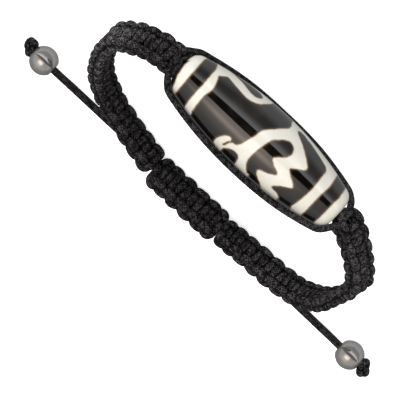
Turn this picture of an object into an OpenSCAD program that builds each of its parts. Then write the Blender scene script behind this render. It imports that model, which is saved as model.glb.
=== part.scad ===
// Adjustable dzi bead bracelet, lying on its side on the stone's far flank cord and the sliding knot.
// Millimetres. X runs along the stone bead, Y from the sliding knot to the stone and Z is up. The origin
// is on the ground under the loop's middle.
// The loop is drawn upright, in a frame of its own: X along the stone, Y across the bands to the side
// that ends up below, Z from the sliding knot to the stone. laid() then lays it on its side.

/* [Stone bead] */
// Length of the barrel-shaped stone
bead_l = 41; // [40:0.25:42]
// Diameter of the stone at its middle
bead_d = 14.4; // [13:0.1:15]
// Radius of the long arc that swells the stone's sides
bead_swell_r = 68; // [60:1:90]
// Rounding of the stone's ends
bead_end_r = 2.6; // [2:0.1:3]
// Diameter of the hole drilled through the stone
bead_bore_d = 2; // [1.8:0.1:2.4]
// Distance from the sliding knot's outer face to the stone's axis
bead_z = 37.5; // [36.5:0.25:38.5]
// How far the stone's middle lies to the right of the origin
bead_x = 0.5; // [0:0.1:1]

/* [Bands] */
// Width of a knotted band over its scalloped edges
band_w = 5.8; // [5.4:0.1:6.2]
// Thickness of a knotted band
band_t = 3.4; // [3:0.1:3.4]
// Length of one whole square knot
knot_pitch = 3.2; // [2.8:0.1:3.6]
// Depth of the dips between the scallops of an edge
scallop_depth = 0.5; // [0.2:0.05:0.7]
// Depth of the dips between the bars of cord that cross a band
bar_depth = 0.25; // [0.1:0.05:0.4]

/* [Sliding knot] */
// Number of whole square knots in the sliding knot, and half a knot more
slide_knots = 5.5; // [4.5:1:5.5]
// Width of the sliding knot over its scalloped edges
slide_w = 6.5; // [6:0.1:7]
// Thickness of the sliding knot
slide_t = 4.4; // [4:0.1:4.6]
// How far the sliding knot's middle lies to the left of the origin
slide_x = 2.1; // [1.9:0.1:2.3]

/* [Cords] */
// Diameter of the tails and of the cord inside the stone
cord_d = 1.5; // [1.2:0.1:1.6]
// Diameter of the cords along the stone's flanks
side_cord_d = 1.4; // [1.2:0.1:1.5]

/* [Metal beads] */
// Diameter of a metal bead
metal_d = 6; // [5.6:0.1:6]
// Length of a metal bead between its flattened ends
metal_l = 5.3; // [4.8:0.1:5.6]
// Diameter of the hole through a metal bead
metal_bore_d = 1.8; // [1.7:0.1:2.2]

/* [Hidden] */
// Clearance between pieces that touch on the real bracelet
gap = 0.1;
// Straight stretch with which a band leaves the stone and meets the sliding knot
straight = 1.6;
// Sides of a woven solid's section, and its rings for each square knot
woven_sides = 16;
rings_per_knot = 6;
// Squareness of a woven section: 2 is an ellipse, more is boxier
woven_power = 3;
// Sides of a plain cord
cord_sides = 8;
// Steps for each span of a smooth line when its length is measured
span_steps = 8;
// Sides of the round solids
$fn = 64;

bead_left = bead_x - bead_l / 2;
bead_right = bead_x + bead_l / 2;
// Where the bands begin: the flank cords turn in between them and the stone
band_left_x = bead_left - side_cord_d - 2 * gap;
band_right_x = bead_right + side_cord_d + 2 * gap;

slide_l = slide_knots * knot_pitch;
slide_left = -slide_x - slide_l / 2;
slide_right = -slide_x + slide_l / 2;
// Where the bands meet the sliding knot, just inside the tails
band_foot_z = cord_d + band_t / 2 + gap;

// Middle lines of the two bands in the loop's frame, from the stone to the sliding knot.
// Columns: X, sway to the side that ends up below, Z.
LEFT_LINE = [
    [band_left_x, 0, bead_z],
    [band_left_x - straight, 0, bead_z],
    [-25.8, 0.3, 36.3],
    [-29.5, 0.7, 33.5],
    [-33, 0.8, 28.5],
    [-33.8, 0.7, 22.5],
    [-31.5, 0.5, 15.5],
    [-27, 0.3, 10],
    [-21.5, 0.2, 6.9],
    [-16, 0, 4.6],
    [slide_left - gap - straight, -0.2, band_foot_z],
    [slide_left - gap, -0.2, band_foot_z],
];
RIGHT_LINE = [
    [band_right_x, 0, bead_z],
    [band_right_x + straight, 0, bead_z - 0.3],
    [27, -0.5, 35.3],
    [30.5, -1.1, 31.6],
    [33.3, -1.5, 26],
    [33.6, -1.5, 19.5],
    [31.3, -1.2, 12.3],
    [27.2, -1, 7.4],
    [21.8, -0.8, 5.1],
    [14.5, -0.6, 3.9],
    [slide_right + gap + straight, -0.5, band_foot_z],
    [slide_right + gap, -0.5, band_foot_z],
];

// Route of a flank cord. Columns: share of the half length from the stone's middle to the band,
// share of the distance at which the cord clears the stone's middle.
FLANK = [[0, 1], [0.2, 0.985], [0.38, 0.945], [0.54, 0.89], [0.68, 0.825], [0.8, 0.76],
    [0.88, 0.69], [0.94, 0.605], [0.98, 0.475], [1, 0.345], [1, 0.22]];
// Distance from the stone's axis to a flank cord at the stone's middle
flank_out = (bead_d + side_cord_d) / 2 + gap / 2;
// How far inside the stone's axis the flank cords run
flank_drop = 0.4;

// The laid loop touches the ground with the far flank cord and with the sliding knot's edge. The lean is the
// angle by which the stone, being thicker, lifts its side of the loop.
rest_span = bead_z - flank_drop - slide_t / 2;
function lean_for(slide_reach) =
    atan2(flank_out, rest_span) - asin((slide_reach - side_cord_d / 2) / norm([flank_out, rest_span]));
lean = lean_for(reach(slide_w, slide_t, lean_for(slide_w / 2)));
laid_z = reach(slide_w, slide_t, lean) - slide_t / 2 * sin(lean);
// The stone's outer side and the sliding knot's outer face lie at equal distances from the origin.
laid_y = (reach(slide_t, slide_w, lean) - bead_d / 2 - (bead_z + slide_t / 2) * cos(lean)) / 2;

// Where the metal beads lie on the ground. Columns: X, Y.
METAL_LEFT = [-42.1, -19.65];
METAL_RIGHT = [43.2, -21.85];

// Routes of the tails: from the sliding knot down to the ground, along it and up into the metal bead.
// Columns: X, Y, Z.
TAIL_LEFT = [
    [-10.95, -21.1, 1.5], [-12.6, -21.15, 1.4], [-14.4, -21.4, 1.05], [-16.4, -21.8, 0.82],
    [-18.6, -22.15, 0.77], [-21, -22.35, 0.77], [-23.5, -22.45, 0.77], [-26, -22.45, 0.77],
    [-28.5, -22.45, 0.77], [-31, -22.45, 0.77], [-33, -22.45, 0.77], [-34.6, -22.2, 0.95],
    [-36, -21.6, 1.45], [-37.2, -20.85, 2.05], [-38.3, -20.15, 2.6], [-39.4, -19.72, 2.93],
    [-40.8, -19.65, 3], [-43, -19.65, 3], [-44.8, -19.65, 3],
];
TAIL_RIGHT = [
    [6.75, -21.1, 1.5], [8.4, -21.15, 1.4], [10.4, -21.4, 1.05], [12.6, -21.9, 0.82],
    [15, -22.5, 0.77], [17.6, -23.1, 0.77], [20.4, -23.7, 0.77], [23.2, -24.1, 0.77],
    [26, -24.35, 0.77], [28.8, -24.45, 0.77], [31.4, -24.5, 0.77], [33.9, -24.55, 0.77],
    [35.7, -24.35, 0.95], [37.1, -23.7, 1.45], [38.3, -22.95, 2.05], [39.4, -22.3, 2.6],
    [40.5, -21.92, 2.93], [41.9, -21.85, 3], [43.7, -21.85, 3], [45.9, -21.85, 3],
];

// Lumps of the end knots. Columns: X, Y, Z, radius.
KNOT_LEFT = [[-46.4, -18.95, 2.3, 1.3], [-46.1, -20.15, 3.4, 1.1]];
KNOT_RIGHT = [[47.1, -21.05, 2.6, 1.1], [47.4, -22.75, 3.3, 1.25]];

// A smooth line through points: the cubic of each span leaves a point along the chord of its neighbours.
function span(p, k, t) =
    let (a = p[max(k - 1, 0)], b = p[k], c = p[k + 1], d = p[min(k + 2, len(p) - 1)])
    b + t * (c - a) / 2 + t * t * (a - 2.5 * b + 2 * c - d / 2) + t * t * t * (1.5 * (b - c) + (d - a) / 2);
function smooth(p) = [
    for (k = [0 : len(p) - 2], j = [0 : span_steps - 1]) span(p, k, j / span_steps),
    p[len(p) - 1],
];

// Distance walked along a line at each of its points.
function walked(p) = [for (i = 0, s = 0; i < len(p); i = i + 1, s = s + (i < len(p) ? norm(p[i] - p[i - 1]) : 0)) s];
// The point at distance q along line p, whose walked distances are w.
function place(p, w, q) = [for (a = [0 : 2]) lookup(q, [for (i = [0 : len(p) - 1]) [w[i], p[i][a]]])];

function unit(v) = v / norm(v);
// Power of a cosine or sine that keeps its sign, for a section between an ellipse and a box.
function squared(c) = sign(c) * pow(abs(c), 2 / woven_power);
// How far a squared section reaches from its middle, in the direction that lies a degrees off its width w.
function reach(w, t, a) =
    let (q = woven_power / (woven_power - 1))
    pow(pow(w / 2 * cos(a), q) + pow(t / 2 * sin(a), q), 1 / q);
// Height of a rounded scallop, 0 at its ends and 1 in its middle, for a share f of its length.
function scallop(f) = let (g = 2 * (f - floor(f)) - 1) sqrt(1 - g * g);

// One ring of a woven solid: its middle, its direction, its width, its thickness and its place in knots.
function woven_ring(middle, along, w, t, knots) =
    let (
        side = unit([0, 1, 0] - along[1] * along),
        up = cross(along, side),
        half_w = w / 2 - scallop_depth * (1 - scallop(knots)),
        half_t = t / 2 - bar_depth * (1 - scallop(2 * knots))
    )
    [for (j = [0 : woven_sides - 1])
        let (a = 360 * (j + 0.5) / woven_sides)
        middle + side * half_w * squared(cos(a)) + up * half_t * squared(sin(a))];

// The level direction of a step, for the flat ends of a band.
function level(v) = [sign(v[0]), 0, 0];

// The rings of a band along its line. The number of knots is the nearest half to the line's length.
function band_rings(line) =
    let (
        p = smooth(line),
        w = walked(p),
        length = w[len(w) - 1],
        knots = round(2 * length / knot_pitch) / 2,
        count = knots * rings_per_knot,
        h = knot_pitch / 4
    )
    [for (i = [0 : count])
        let (
            q = length * i / count,
            step = place(p, w, q + h) - place(p, w, q - h),
            along = i == 0 || i == count ? level(step) : unit(step)
        )
        woven_ring(place(p, w, q), along, band_w, band_t, i / rings_per_knot)];

// A closed skin over rings of points, with flat ends.
module skin(rings) {
    n = len(rings[0]);
    last = len(rings) - 1;
    polyhedron(
        points = [for (r = rings) each r],
        faces = [
            [for (j = [0 : n - 1]) j],
            for (i = [0 : last - 1], j = [0 : n - 1])
                each [
                    [i * n + j, (i + 1) * n + j, (i + 1) * n + (j + 1) % n],
                    [i * n + j, (i + 1) * n + (j + 1) % n, i * n + (j + 1) % n],
                ],
            [for (j = [n - 1 : -1 : 0]) last * n + j],
        ]
    );
}

// A round cord swept along its route, with a ring at each point.
module cord(route, d) {
    last = len(route) - 1;
    skin([for (i = [0 : last])
        let (
            along = unit(route[min(i + 1, last)] - route[max(i - 1, 0)]),
            side = unit(cross([0, 0, 1], along)),
            up = cross(along, side)
        )
        [for (j = [0 : cord_sides - 1])
            let (a = 360 * (j + 0.5) / cord_sides)
            route[i] + d / 2 * (cos(a) * side + sin(a) * up)]
    ]);
}

// Lays what is drawn in the loop's frame on its side.
module laid() {
    translate([0, laid_y, laid_z])
    rotate([lean - 90, 0, 0])
    children();
}

// The barrel: a long arc swells its sides and rounds its ends without a corner between them.
module dzi_bead() {
    arc_centre = bead_d / 2 - bead_swell_r;
    end_x = bead_l / 2 - bead_end_r;
    end_y = sqrt(pow(bead_swell_r - bead_end_r, 2) - end_x * end_x) + arc_centre;
    meet_x = end_x * bead_swell_r / (bead_swell_r - bead_end_r);
    color([0.2, 0.18, 0.17])
    laid()
    translate([bead_x, 0, bead_z])
    rotate([0, 90, 0])
    rotate_extrude()
    difference() {
        union() {
            intersection() {
                translate([arc_centre, 0]) circle(r = bead_swell_r, $fn = 360);
                translate([0, -meet_x]) square([bead_d, 2 * meet_x]);
            }
            translate([0, -bead_l / 2]) square([end_y, bead_l]);
            for (s = [-1, 1])
                intersection() {
                    translate([end_y, s * end_x]) circle(r = bead_end_r);
                    translate([0, -bead_l]) square([bead_d, 2 * bead_l]);
                }
        }
        translate([-bead_d, -bead_l]) square([bead_d + bead_bore_d / 2, 2 * bead_l]);
    }
}

// The cord through the stone, from band to band.
module core_cord() {
    color([0.13, 0.12, 0.13])
    laid()
    translate([band_left_x + 2 * gap, 0, bead_z])
    rotate([0, 90, 0])
    cylinder(d = cord_d, h = band_right_x - band_left_x - 4 * gap);
}

// A flank cord, on the near side for -1 and, for 1, on the far side, which lies on the ground.
module side_cord(side) {
    half = (bead_l + side_cord_d) / 2 + gap;
    n = len(FLANK) - 1;
    color([0.13, 0.12, 0.13])
    laid()
    cord([
        for (i = [n : -1 : 1]) [bead_x - half * FLANK[i][0], side * flank_out * FLANK[i][1], bead_z - flank_drop],
        for (i = [0 : n]) [bead_x + half * FLANK[i][0], side * flank_out * FLANK[i][1], bead_z - flank_drop],
    ], side_cord_d);
}
module side_cord_near() { side_cord(-1); }
module side_cord_far() { side_cord(1); }

// A knotted band along its line.
module band(line) {
    color([0.13, 0.12, 0.13])
    laid()
    skin(band_rings(line));
}
module band_left() { band(LEFT_LINE); }
module band_right() { band(RIGHT_LINE); }

// The sliding knot, straight and thicker than the bands.
module sliding_knot() {
    count = slide_knots * rings_per_knot;
    color([0.13, 0.12, 0.13])
    laid()
    skin([for (i = [0 : count])
        woven_ring([slide_left + slide_l * i / count, 0, slide_t / 2], [1, 0, 0],
            slide_w, slide_t, i / rings_per_knot)
    ]);
}

module tail_cord_left() { color([0.13, 0.12, 0.13]) cord(TAIL_LEFT, cord_d); }
module tail_cord_right() { color([0.13, 0.12, 0.13]) cord(TAIL_RIGHT, cord_d); }

// A drilled ball with flattened ends, lying on the ground.
module metal_bead(at) {
    color([0.5, 0.5, 0.5])
    translate([at[0], at[1], metal_d / 2])
    rotate([0, 90, 0])
    rotate_extrude()
    intersection() {
        circle(d = metal_d);
        translate([metal_bore_d / 2, -metal_l / 2]) square([metal_d, metal_l]);
    }
}
module metal_bead_left() { metal_bead(METAL_LEFT); }
module metal_bead_right() { metal_bead(METAL_RIGHT); }

// A stopper knot, as its rounded lumps.
module end_knot(lumps) {
    color([0.13, 0.12, 0.13])
    for (p = lumps)
        translate([p[0], p[1], p[2]]) sphere(r = p[3]);
}
module end_knot_left() { end_knot(KNOT_LEFT); }
module end_knot_right() { end_knot(KNOT_RIGHT); }

dzi_bead();
core_cord();
side_cord_near();
side_cord_far();
band_left();
band_right();
sliding_knot();
tail_cord_left();
tail_cord_right();
metal_bead_left();
metal_bead_right();
end_knot_left();
end_knot_right();
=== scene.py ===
"""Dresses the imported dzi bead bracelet: knotted waxed cord, a polished agate bead and two gunmetal balls.

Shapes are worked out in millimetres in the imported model's frame and put into meshes in metres. The
bracelet's loop has a frame of its own, as in the part's source: X along the stone, Y across the bands to
the side that lies on the ground, and Z from the sliding knot to the stone.
"""

import bpy
import numpy as np
from mathutils import Matrix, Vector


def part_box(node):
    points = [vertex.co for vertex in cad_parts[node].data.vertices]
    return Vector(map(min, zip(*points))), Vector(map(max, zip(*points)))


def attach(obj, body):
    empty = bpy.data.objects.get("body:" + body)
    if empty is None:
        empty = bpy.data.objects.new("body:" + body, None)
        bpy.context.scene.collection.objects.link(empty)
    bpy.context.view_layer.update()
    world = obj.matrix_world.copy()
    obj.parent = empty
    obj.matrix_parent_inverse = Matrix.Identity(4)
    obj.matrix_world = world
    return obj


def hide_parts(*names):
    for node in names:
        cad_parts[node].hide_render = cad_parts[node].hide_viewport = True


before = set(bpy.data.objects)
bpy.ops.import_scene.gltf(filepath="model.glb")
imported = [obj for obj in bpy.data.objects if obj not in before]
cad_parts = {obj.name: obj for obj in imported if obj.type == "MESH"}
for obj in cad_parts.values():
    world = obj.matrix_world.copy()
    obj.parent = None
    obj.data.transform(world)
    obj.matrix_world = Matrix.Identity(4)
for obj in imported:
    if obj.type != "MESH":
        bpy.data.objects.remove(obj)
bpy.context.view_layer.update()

MM = 0.001
# Diameters of the tails and of the cords along the stone's flanks
CORD_D = 1.5
FLANK_CORD_D = 1.36
# The stone: length, diameter, radius of the arc that swells it, radius of its rounded ends, its bore, and
# where its middle lies in the loop's frame
BEAD_L = 41
BEAD_D = 14.4
BEAD_SWELL_R = 68
BEAD_END_R = 2.6
BEAD_BORE_D = 2
BEAD_X = 0.5
BEAD_Z = 37.5
# The metal balls: diameter, length along the bore, and bore
METAL_D = 6
METAL_L = 5.3
METAL_BORE_D = 1.8
# The cords' braid: bumps round a cord, length of one plait, and how far the bumps rise and sink
BRAID_BUMPS = 7
PLAIT = 0.5
BRAID_RELIEF = 0.045
# Rings of a cord's skin: distance from ring to ring, and points in a ring
CORD_STEP = 0.15
CORD_SIDES = 21
# Distances from another pass of cord where a crease is deepest and where it ends, and length along a cord
# that counts as the same pass
CREASE_NEAR = 0.78
CREASE_FAR = 1.14
CREASE_SKIP = 3.6
# The search for creases: how many rings are tested together, how many rings of another pass one of them
# stands for, how near another pass has to be to count, and a point for where none is
CREASE_GROUP = 12
CREASE_STRIDE = 3
CREASE_REACH = 4
FAR_POINT = (1000, 0, 0)
# Stands for 0 where something is divided by it
TINY = 1e-12


def unit(vectors):
    """Each vector divided by its length."""
    return vectors / np.linalg.norm(vectors, axis=-1, keepdims=True)


def middle(node):
    """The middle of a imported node's box, in millimetres."""
    low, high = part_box(node)
    return (np.array(low) + np.array(high)) / 2 / MM


# The loop's frame as it lies: the stone and the sliding knot give its Z.
STONE = middle("dzi_bead")
CLOSURE = middle("sliding_knot")
LOOP_X = np.array([1.0, 0.0, 0.0])
LOOP_Z = unit((STONE - CLOSURE) * [0, 1, 1])
LOOP_Y = np.cross(LOOP_Z, LOOP_X)
LOOP_AXES = np.array([LOOP_X, LOOP_Y, LOOP_Z])
LOOP_ORIGIN = STONE - BEAD_X * LOOP_X - BEAD_Z * LOOP_Z


def laid(points):
    """Points of the loop's frame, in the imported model's frame."""
    return LOOP_ORIGIN + np.asarray(points) @ LOOP_AXES


# The photograph's view: from above the loop's side, turned so that the stone slants by 43 degrees.
CAMERA_STAND = np.array([0.25, 480.63, 393.43])
LOOK_AT = np.array([-0.1, -7.62, 11.24])
CAMERA_TURN = np.radians(43)
LENS = 284.6
SENSOR = 36


def place_camera():
    """The camera looks against its own Z, with the loop's long side turned in its picture."""
    data = bpy.data.cameras.new("camera")
    data.lens = LENS
    data.sensor_width = SENSOR
    data.clip_start = 0.01
    data.clip_end = 20
    back = unit(CAMERA_STAND - LOOK_AT)
    above = unit(np.cross(back, LOOP_X))
    level = np.cross(above, back)
    right = np.cos(CAMERA_TURN) * level + np.sin(CAMERA_TURN) * above
    up = np.cos(CAMERA_TURN) * above - np.sin(CAMERA_TURN) * level
    turned = np.stack([right, up, back, CAMERA_STAND * MM], 1)
    camera = bpy.data.objects.new("camera", data)
    camera.matrix_world = Matrix([*turned.tolist(), [0, 0, 0, 1]])
    bpy.context.scene.collection.objects.link(camera)
    bpy.context.scene.camera = camera


place_camera()


# Lines and shells

def smooth_line(points, steps=24):
    """A line through points: each span is the cubic that leaves a point along the chord of its neighbours."""
    p = np.array(points, float)
    before = p[np.r_[0, 0:len(p) - 2]]
    after = p[np.r_[2:len(p), len(p) - 1]]
    start, end = p[:-1], p[1:]
    t = (np.arange(steps) / steps)[:, None]
    spans = (start[:, None] + t * (end - before)[:, None] / 2
             + t ** 2 * (before - 2.5 * start + 2 * end - after / 2)[:, None]
             + t ** 3 * (1.5 * (start - end) + (after - before) / 2)[:, None])
    return np.vstack([spans.reshape(-1, p.shape[1]), p[-1:]])


def eased_line(points, steps):
    """A line near its points: each span blends four of them by the cubic B-spline's weights, and the ends
    are held by repeating them."""
    p = np.array(points, float)
    p = np.vstack([p[:1], p[:1], p, p[-1:], p[-1:]])
    t = (np.arange(steps) / steps)[:, None]
    weights = ((1 - t) ** 3, 3 * t ** 3 - 6 * t ** 2 + 4, 1 + 3 * (t + t ** 2 - t ** 3), t ** 3)
    spans = sum(w * p[k:len(p) - 3 + k, None] for k, w in enumerate(weights)) / 6
    return spans.reshape(-1, p.shape[1])


def walked(line):
    """Distance walked along a line at each of its points."""
    return np.r_[0, np.cumsum(np.linalg.norm(np.diff(line, axis=0), axis=1))]


def evenly(line, spacing):
    """The same line with its points at even distances. Columns past the third go along with the points."""
    distance = walked(line[:, :3])
    at = np.linspace(0, distance[-1], int(np.ceil(distance[-1] / spacing)) + 1)
    return np.stack([np.interp(at, distance, column) for column in line.T], 1)


def ring_shell(rings, along, closed=False):
    """A shell over rings of points: neighbouring points of neighbouring rings make its quads. Where the
    rings don't close on themselves, a pole in the middle of each end ring closes it. Each corner's UV is
    its share of the way round and its distance along."""
    rows, columns = rings.shape[:2]
    last = rows if closed else rows - 1
    i, j = np.meshgrid(np.arange(last), np.arange(columns), indexing="ij")
    i, j = i.ravel(), j.ravel()
    corners = ((i, j), (i + 1, j), (i + 1, j + 1), (i, j + 1))
    quads = np.stack([(a % rows) * columns + b % columns for a, b in corners], 1)
    reach = np.append(along, 2 * along[-1] - along[-2])
    quad_uv = np.stack([np.stack([b / columns, reach[a]], 1) for a, b in corners], 1)
    points = rings.reshape(-1, 3)
    if closed:
        return points, quads, quad_uv, np.zeros((0, 3), int), np.zeros((0, 3, 2))
    around = np.arange(columns)
    near = (rows - 1) * columns
    first_cap = np.stack([np.full(columns, rows * columns), around, (around + 1) % columns], 1)
    last_pole = np.full(columns, rows * columns + 1)
    last_cap = np.stack([last_pole, near + (around + 1) % columns, near + around], 1)
    shares = np.stack([around + 0.5, around, around + 1], 1) / columns
    first_uv = np.dstack([shares, np.full(shares.shape, along[0])])
    last_uv = np.dstack([shares[:, [0, 2, 1]], np.full(shares.shape, along[-1])])
    points = np.vstack([points, rings[0].mean(0), rings[-1].mean(0)])
    return points, quads, quad_uv, np.vstack([first_cap, last_cap]), np.vstack([first_uv, last_uv])


def turned_out(shell):
    """The shell with its faces pointing outwards: all are reversed if its volume comes out negative."""
    points, quads, quad_uv, tris, tri_uv = shell
    flat = np.vstack([quads[:, [0, 1, 2]], quads[:, [0, 2, 3]], tris])
    a, b, c = (points[flat[:, k]] - points[0] for k in range(3))
    if (a * np.cross(b, c)).sum() > 0:
        return shell
    return points, quads[:, ::-1], quad_uv[:, ::-1], tris[:, ::-1], tri_uv[:, ::-1]


def piece(name, shells, material, replaced):
    """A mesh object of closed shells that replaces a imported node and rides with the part."""
    shells = [turned_out(s) for s in shells]
    starts = np.cumsum([0] + [len(s[0]) for s in shells])
    quads = np.vstack([s[1] + start for s, start in zip(shells, starts)])
    tris = np.vstack([s[3] + start for s, start in zip(shells, starts)])
    corners = np.concatenate([s[2].reshape(-1, 2) for s in shells] + [s[4].reshape(-1, 2) for s in shells])
    mesh = bpy.data.meshes.new(name)
    mesh.from_pydata(np.vstack([s[0] for s in shells]) * MM, [], quads.tolist() + tris.tolist())
    mesh.uv_layers.new(name="UVMap").data.foreach_set("uv", corners.astype(np.float32).ravel())
    mesh.shade_smooth()
    mesh.materials.append(material)
    made = bpy.data.objects.new(name, mesh)
    bpy.context.scene.collection.objects.link(made)
    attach(made, "root")
    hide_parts(replaced)
    return made


def tube(path, outward, thick, wide):
    """A closed skin round a path. At angle a, a ring's point is the middle, plus thick * cos(a) outwards,
    plus wide * sin(a) across. Both grow and shrink by the braid's relief times the product of two cosines,
    one round the cord and one along it."""
    along = unit(np.gradient(path, axis=0))
    outward = unit(outward - (outward * along).sum(1, keepdims=True) * along)
    across = np.cross(along, outward)
    a = np.linspace(0, 2 * np.pi, CORD_SIDES, endpoint=False)
    plaits = np.cos(2 * np.pi / PLAIT * walked(path))[:, None] * np.cos(BRAID_BUMPS * a)
    thick, wide = (np.broadcast_to(size, len(path))[:, None] + BRAID_RELIEF * plaits
                   for size in (thick, wide))
    rings = (path[:, None] + outward[:, None] * (thick * np.cos(a))[..., None]
             + across[:, None] * (wide * np.sin(a))[..., None])
    return ring_shell(rings, walked(path))


def note_creases(made, shells):
    """Gives each point of cords that lie together its depth in a crease, which the cord's material uses to
    paint shade: 1 where the middle line of another pass of cord is CREASE_NEAR away or less, and 0 from
    CREASE_FAR on. Another pass belongs to another cord, or to the same one further along than CREASE_SKIP."""
    rings = [s[0][:len(s[0]) // CORD_SIDES * CORD_SIDES].reshape(-1, CORD_SIDES, 3) for s in shells]
    middles = [ring.mean(1) for ring in rings]
    passes = np.vstack([np.column_stack([m, walked(m), np.full(len(m), k)])[::CREASE_STRIDE]
                        for k, m in enumerate(middles)])
    shares = []
    for k, ring in enumerate(rings):
        at = walked(middles[k])
        poles = len(shells[k][0]) - ring.size // 3
        for rows in np.array_split(np.arange(len(ring)), len(ring) // CREASE_GROUP + 1):
            further = np.abs(passes[:, 3] - at[rows].mean())
            if poles == 0:
                further = np.minimum(further, at[-1] - further)
            another = (passes[:, 4] != k) | (further > CREASE_SKIP)
            close = np.linalg.norm(passes[:, :3] - middles[k][rows].mean(0), axis=1) < CREASE_REACH
            lines = np.vstack([passes[another & close, :3], [FAR_POINT]])
            apart = np.linalg.norm(ring[rows].reshape(-1, 1, 3) - lines, axis=2).min(1)
            shares.append(np.clip((CREASE_FAR - apart) / (CREASE_FAR - CREASE_NEAR), 0, 1))
        shares.append(np.ones(poles))
    shares = np.concatenate(shares).astype(np.float32)
    made.data.attributes.new("crease", "FLOAT", "POINT").data.foreach_set("value", shares)


# Materials

# Colours. Columns: red, green, blue, opacity.
CORD_DARK = (0.0014, 0.0013, 0.0014, 1)
# Paler fleck colours: painted highlight on the braid's crests, mixed with random fibre tone
CORD_FLECK_HIGHLIGHT = (0.0495, 0.0462, 0.049, 1)
# Fleck colour of the plain cords: a darker copy, painted shade with dimmer painted highlight
PLAIN_CORD_DIM_HIGHLIGHT = (0.038, 0.0352, 0.0366, 1)
# Painted shade in deep creases between cords
CORD_CREASE_SHADE = (0.0008, 0.0007, 0.0008, 1)
# Painted light on the bands' turns: darker and paler fleck colours where the light falls
LIT_TURN_DARK = (0.006, 0.0056, 0.006, 1)
LIT_TURN_HIGHLIGHT = (0.12, 0.112, 0.119, 1)
SMOKE_BLACK = (0.0028, 0.0023, 0.002, 1)
SMOKE_BROWN = (0.009, 0.0062, 0.0043, 1)
CREAM_PALE = (0.52, 0.51, 0.461, 1)
CREAM_WARM = (0.483, 0.466, 0.413, 1)
CREAM_SPECK = (0.43, 0.39, 0.325, 1)
CREAM_RIM = (0.25, 0.2, 0.145, 1)
FRINGE_BROWN = (0.05, 0.03, 0.016, 1)
METAL_GREY = (0.325, 0.318, 0.308, 1)
METAL_WORN = (0.282, 0.276, 0.266, 1)
# Where the cord has painted light, paler colour that stands in for the light falling on the bands' turns, in
# metres. Each pair goes from where the painted light starts to where it is full, and the shares say how much
# of it the right side has.
LIT_LEFT_X = (-0.0275, -0.0335)
LIT_RIGHT_X = (0.027, 0.036)
LIT_TURN_Y = (-0.018, -0.01)
LIT_FOOT_X = (0.006, 0.018)
LIT_FOOT_Y = (-0.0215, -0.0185)
LIT_RIGHT_SHARE = 0.1
LIT_FOOT_SHARE = 0.28


def add(tree, kind, inputs=None, **settings):
    """A node with its settings, and with its inputs set to values or linked to other nodes' outputs."""
    made = tree.nodes.new("ShaderNode" + kind)
    for key, value in settings.items():
        setattr(made, key, value)
    for key, value in (inputs or {}).items():
        if isinstance(value, bpy.types.NodeSocket):
            tree.links.new(value, made.inputs[key])
        else:
            made.inputs[key].default_value = value
    return made


def maths(tree, operation, a, b=0.0):
    """The output of a Math node."""
    return add(tree, "Math", {0: a, 1: b}, operation=operation).outputs[0]


def blend(tree, share, a, b, way="MIX"):
    """The output of a colour mix, a where the share is 0 and b where it is 1, or b added to a."""
    made = add(tree, "Mix", {0: share, 6: a, 7: b}, data_type="RGBA", blend_type=way)
    return made.outputs[2]


def ranged(tree, value, low, high, to_low=0.0, to_high=1.0, kind="SMOOTHSTEP"):
    """The output of a Map Range node."""
    return add(tree, "MapRange", {0: value, 1: low, 2: high, 3: to_low, 4: to_high},
               interpolation_type=kind).outputs[0]


def noise(tree, scale, detail=3.0, rough=0.55):
    """Noise on Object coordinates, scale in cycles for a metre."""
    place = add(tree, "TexCoord").outputs["Object"]
    return add(tree, "TexNoise", {"Vector": place, "Scale": scale, "Detail": detail,
                                  "Roughness": rough}).outputs[0]


def new_material(name):
    """A node material, its tree and its surface shader."""
    made = bpy.data.materials.new(name)
    made.use_nodes = True
    return made, made.node_tree, made.node_tree.nodes["Principled BSDF"]


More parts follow.
